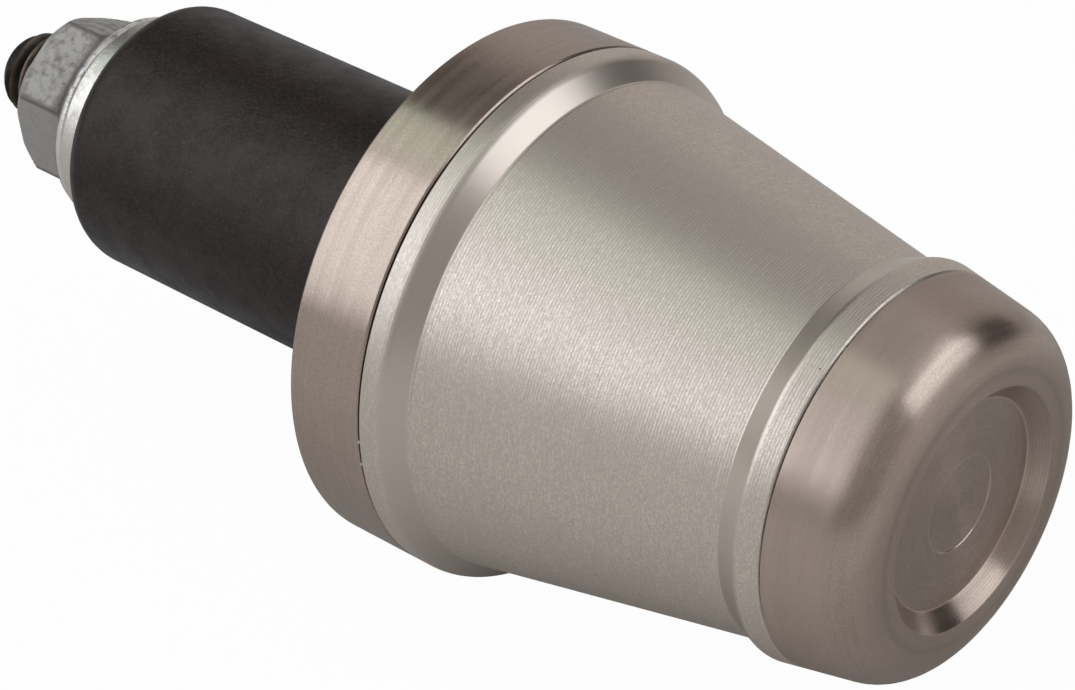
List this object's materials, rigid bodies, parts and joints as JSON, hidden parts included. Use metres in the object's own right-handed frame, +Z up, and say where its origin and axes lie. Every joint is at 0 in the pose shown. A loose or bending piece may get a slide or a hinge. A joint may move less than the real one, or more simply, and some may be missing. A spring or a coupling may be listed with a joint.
{
  "type": "handlebar end weight",
  "caption": "Tapered stainless bar end with a dished screw-in cap, a stop ring and a rubber plug that a long screw and flange nut swell inside the handlebar tube.",
  "frame": {"origin": "centre of the base ring's inboard face, which the end of the handlebar tube butts against", "axes": "+X along the bar, pointing out of the tube towards the end cap; +Z up; the rubber plug runs from X = 0 to -X"},
  "size_m": [0.0771, 0.033, 0.033],
  "materials": {
    "cap_steel": "fine turned stainless steel",
    "body_steel": "satin turned stainless steel",
    "ring_steel": "fine turned stainless steel",
    "rubber": "matt black rubber",
    "zinc_plate": "bright zinc plate",
    "black_oxide": "black oxide on steel, slightly oily"
  },
  "bodies": {
    "root": {"end_cap": "cap_steel", "tapered_body": "body_steel", "base_ring": "ring_steel", "expander_sleeve": "rubber", "plain_washer": "zinc_plate", "flange_nut": "zinc_plate", "through_screw": "black_oxide"}
  },
  "joints": []
}
